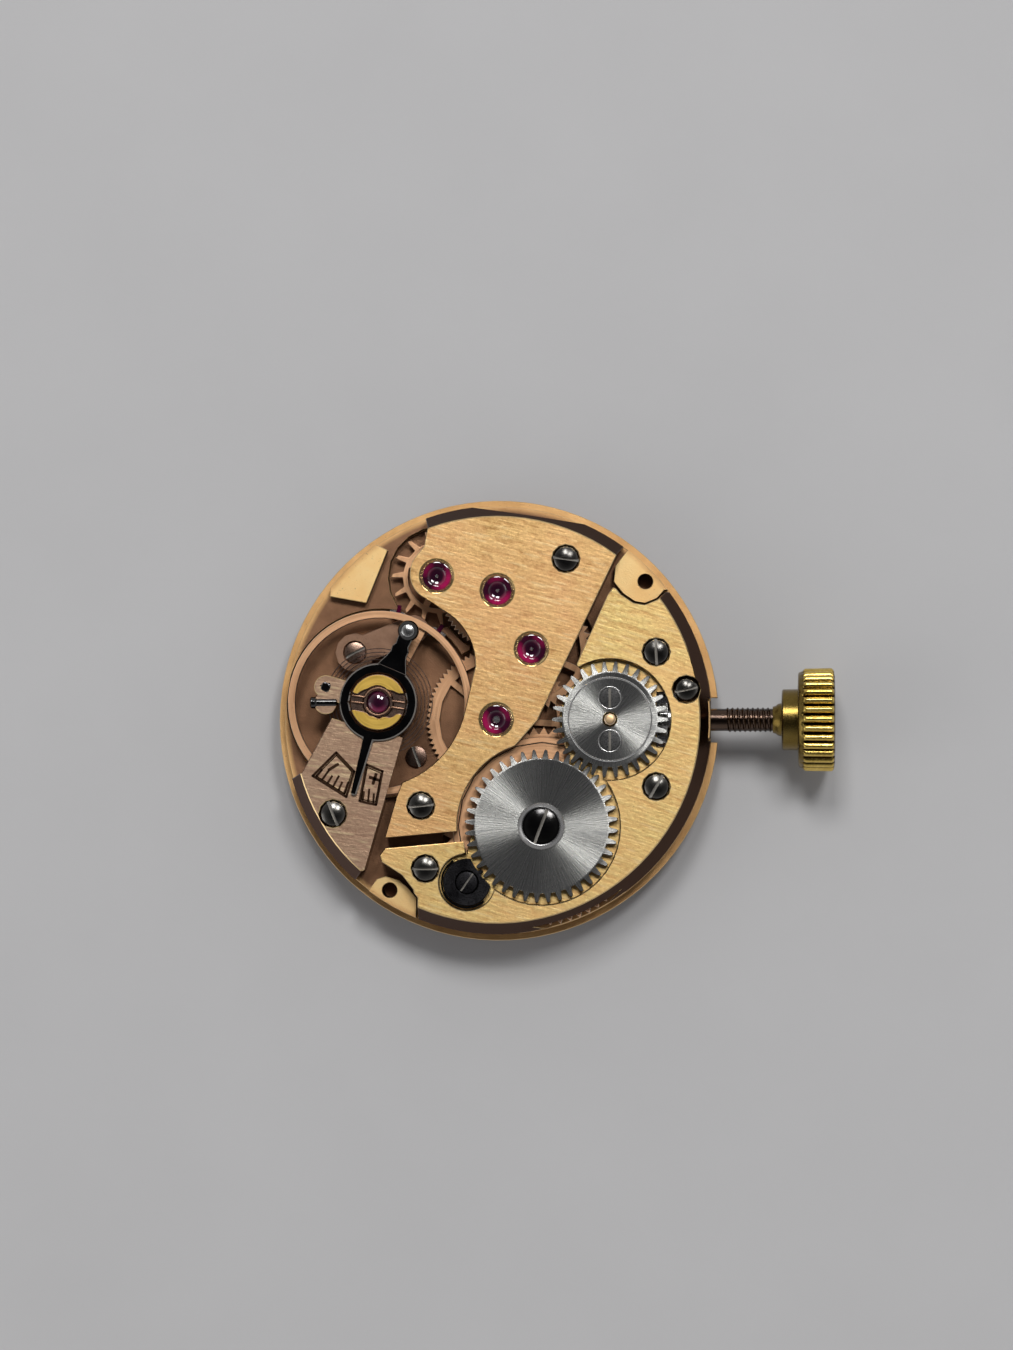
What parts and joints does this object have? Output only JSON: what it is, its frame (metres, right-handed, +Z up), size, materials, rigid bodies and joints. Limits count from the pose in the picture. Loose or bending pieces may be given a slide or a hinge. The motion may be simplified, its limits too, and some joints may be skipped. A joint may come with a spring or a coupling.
{
  "type": "mechanical watch movement",
  "caption": "Round hand-wound watch movement with brushed rose-gilt bridges, a gear train on ruby bearings, lever escapement, balance, ratchet wheel, winding stem and fluted crown.",
  "frame": {"origin": "center of the movement on the dial seat, on the axis of the center wheel", "axes": "+X along the winding stem to the crown, +Z up from the dial side to the bridge side"},
  "size_m": [0.0221, 0.0174, 0.0042],
  "materials": {
    "gilt_plate": "fine straight brushed rose gilding",
    "rose_brass": "smooth rose gilding",
    "polished_steel": "circular brushed steel",
    "black_steel": "black polished steel",
    "ruby": "polished synthetic ruby",
    "yellow_gold": "polished yellow gold plating"
  },
  "bodies": {
    "plate": {"mainplate": "gilt_plate", "barrel_bridge": "gilt_plate", "train_bridge": "gilt_plate", "balance_cock": "gilt_plate", "pallet_cock": "gilt_plate", "crown_wheel_core": "polished_steel", "crown_wheel_screws": "black_steel", "click_spring": "black_steel", "click_screw": "black_steel", "hairspring": "polished_steel", "hairspring_stud": "polished_steel", "stud_screw": "black_steel", "upper_shock_block": "yellow_gold", "upper_shock_spring": "yellow_gold", "upper_shock_jewels": "ruby", "lower_shock_block": "yellow_gold", "bridge_jewels": "ruby", "plate_jewels": "ruby", "barrel_bridge_screws": "black_steel", "train_bridge_screws": "black_steel", "balance_cock_screw": "black_steel", "small_screws": "black_steel", "setting_lever_screw": "black_steel", "setting_jumper": "polished_steel", "yoke_spring": "polished_steel"},
    "winding": {"winding_pinion": "polished_steel"},
    "stem": {"winding_stem": "black_steel", "crown": "yellow_gold"},
    "clutch": {"clutch_wheel": "polished_steel"},
    "crown_wheel": {"crown_wheel": "polished_steel"},
    "ratchet": {"ratchet_wheel": "polished_steel", "barrel_arbor": "polished_steel", "ratchet_screw": "polished_steel"},
    "barrel": {"barrel_drum": "rose_brass", "barrel_cover": "rose_brass", "mainspring": "polished_steel"},
    "center": {"center_wheel": "rose_brass", "center_arbor": "polished_steel", "cannon_pinion": "polished_steel"},
    "third": {"third_wheel": "rose_brass", "third_pinion": "polished_steel"},
    "fourth": {"fourth_wheel": "rose_brass", "fourth_pinion": "polished_steel"},
    "escape": {"escape_wheel": "rose_brass", "escape_pinion": "polished_steel"},
    "pallets": {"pallet_fork": "polished_steel", "pallet_stones": "ruby", "pallet_arbor": "polished_steel"},
    "balance": {"balance_wheel": "rose_brass", "balance_staff": "polished_steel", "roller": "polished_steel", "impulse_jewel": "ruby", "hairspring_collet": "rose_brass"},
    "regulator": {"regulator": "black_steel"},
    "click": {"click": "black_steel"},
    "setting_lever": {"setting_lever": "polished_steel"},
    "yoke": {"yoke": "polished_steel"},
    "setting_wheel": {"setting_wheel": "polished_steel"},
    "minute_wheel": {"minute_wheel": "rose_brass"},
    "hour_wheel": {"hour_wheel": "rose_brass"}
  },
  "joints": [
    {"name": "crown_turn", "type": "hinge", "parent": "plate", "child": "winding", "pos_m": [0.00666, 0, 0.00106], "axis": [1, 0, 0], "continuous": true},
    {"name": "crown_pull", "type": "slide", "parent": "winding", "child": "stem", "axis": [1, 0, 0], "range_m": [0, 0.00045]},
    {"name": "clutch_slide", "type": "slide", "parent": "winding", "child": "clutch", "axis": [1, 0, 0], "range_m": [-0.00045, 0]},
    {"name": "crown_wheel_turn", "type": "hinge", "parent": "plate", "child": "crown_wheel", "pos_m": [0.00449, 0, 0.0021], "axis": [0, 0, 1], "continuous": true},
    {"name": "ratchet_turn", "type": "hinge", "parent": "plate", "child": "ratchet", "pos_m": [0.00178, -0.0042, 0.0012], "axis": [0, 0, 1], "continuous": true},
    {"name": "barrel_turn", "type": "hinge", "parent": "plate", "child": "barrel", "pos_m": [0.00178, -0.0042, 0.0012], "axis": [0, 0, 1], "continuous": true},
    {"name": "center_turn", "type": "hinge", "parent": "plate", "child": "center", "pos_m": [0, 0, 0.001], "axis": [0, 0, 1], "continuous": true},
    {"name": "third_turn", "type": "hinge", "parent": "plate", "child": "third", "pos_m": [0.00139, 0.00279, 0.0012], "axis": [0, 0, 1], "continuous": true},
    {"name": "fourth_turn", "type": "hinge", "parent": "plate", "child": "fourth", "pos_m": [0.00004, 0.00509, 0.0012], "axis": [0, 0, 1], "continuous": true},
    {"name": "escape_turn", "type": "hinge", "parent": "plate", "child": "escape", "pos_m": [-0.00236, 0.00567, 0.0012], "axis": [0, 0, 1], "continuous": true},
    {"name": "fork_swing", "type": "hinge", "parent": "plate", "child": "pallets", "pos_m": [-0.00331, 0.00363, 0.0006], "axis": [0, 0, 1], "range_deg": [-5, 5]},
    {"name": "balance_swing", "type": "hinge", "parent": "plate", "child": "balance", "pos_m": [-0.00467, 0.00068, 0.001], "axis": [0, 0, 1], "range_deg": [-270, 270], "stiffness_Nm_per_rad": 0.000000095},
    {"name": "regulator_shift", "type": "hinge", "parent": "plate", "child": "regulator", "pos_m": [-0.00467, 0.00068, 0.00233], "axis": [0, 0, 1], "range_deg": [-15, 15]},
    {"name": "click_swing", "type": "hinge", "parent": "plate", "child": "click", "pos_m": [-0.00116, -0.00642, 0.00205], "axis": [0, 0, 1], "range_deg": [-4, 0], "stiffness_Nm_per_rad": 0.000001},
    {"name": "setting_lever_swing", "type": "hinge", "parent": "plate", "child": "setting_lever", "pos_m": [0.00749, 0.00118, 0.0005], "axis": [0, 0, 1], "range_deg": [0, 21.6]},
    {"name": "yoke_swing", "type": "hinge", "parent": "plate", "child": "yoke", "pos_m": [0.005, 0.0026, 0.0002], "axis": [0, 0, 1], "range_deg": [-9.67, 0]},
    {"name": "setting_wheel_turn", "type": "hinge", "parent": "plate", "child": "setting_wheel", "pos_m": [0.00373, 0, 0.00022], "axis": [0, 0, 1], "continuous": true},
    {"name": "minute_wheel_turn", "type": "hinge", "parent": "plate", "child": "minute_wheel", "pos_m": [0.00157, -0.00182, 0.00015], "axis": [0, 0, 1], "continuous": true},
    {"name": "hour_wheel_turn", "type": "hinge", "parent": "plate", "child": "hour_wheel", "pos_m": [0, 0, 0], "axis": [0, 0, 1], "continuous": true}
  ],
  "couplings": [
    {"joint": "crown_wheel_turn", "follows": "crown_turn", "ratio": -0.46667},
    {"joint": "ratchet_turn", "follows": "crown_turn", "ratio": 0.35},
    {"joint": "clutch_slide", "follows": "crown_pull", "ratio": -1},
    {"joint": "setting_lever_swing", "follows": "crown_pull", "rad_per_m": 837.67},
    {"joint": "yoke_swing", "follows": "crown_pull", "rad_per_m": -375.01},
    {"joint": "third_turn", "follows": "fourth_turn", "ratio": -0.16667},
    {"joint": "center_turn", "follows": "fourth_turn", "ratio": 0.016667},
    {"joint": "barrel_turn", "follows": "fourth_turn", "ratio": -0.0033333},
    {"joint": "escape_turn", "follows": "fourth_turn", "ratio": -11},
    {"joint": "minute_wheel_turn", "follows": "fourth_turn", "ratio": -0.0055556},
    {"joint": "hour_wheel_turn", "follows": "fourth_turn", "ratio": 0.0013889},
    {"joint": "setting_wheel_turn", "follows": "fourth_turn", "ratio": 0.0098039}
  ]
}
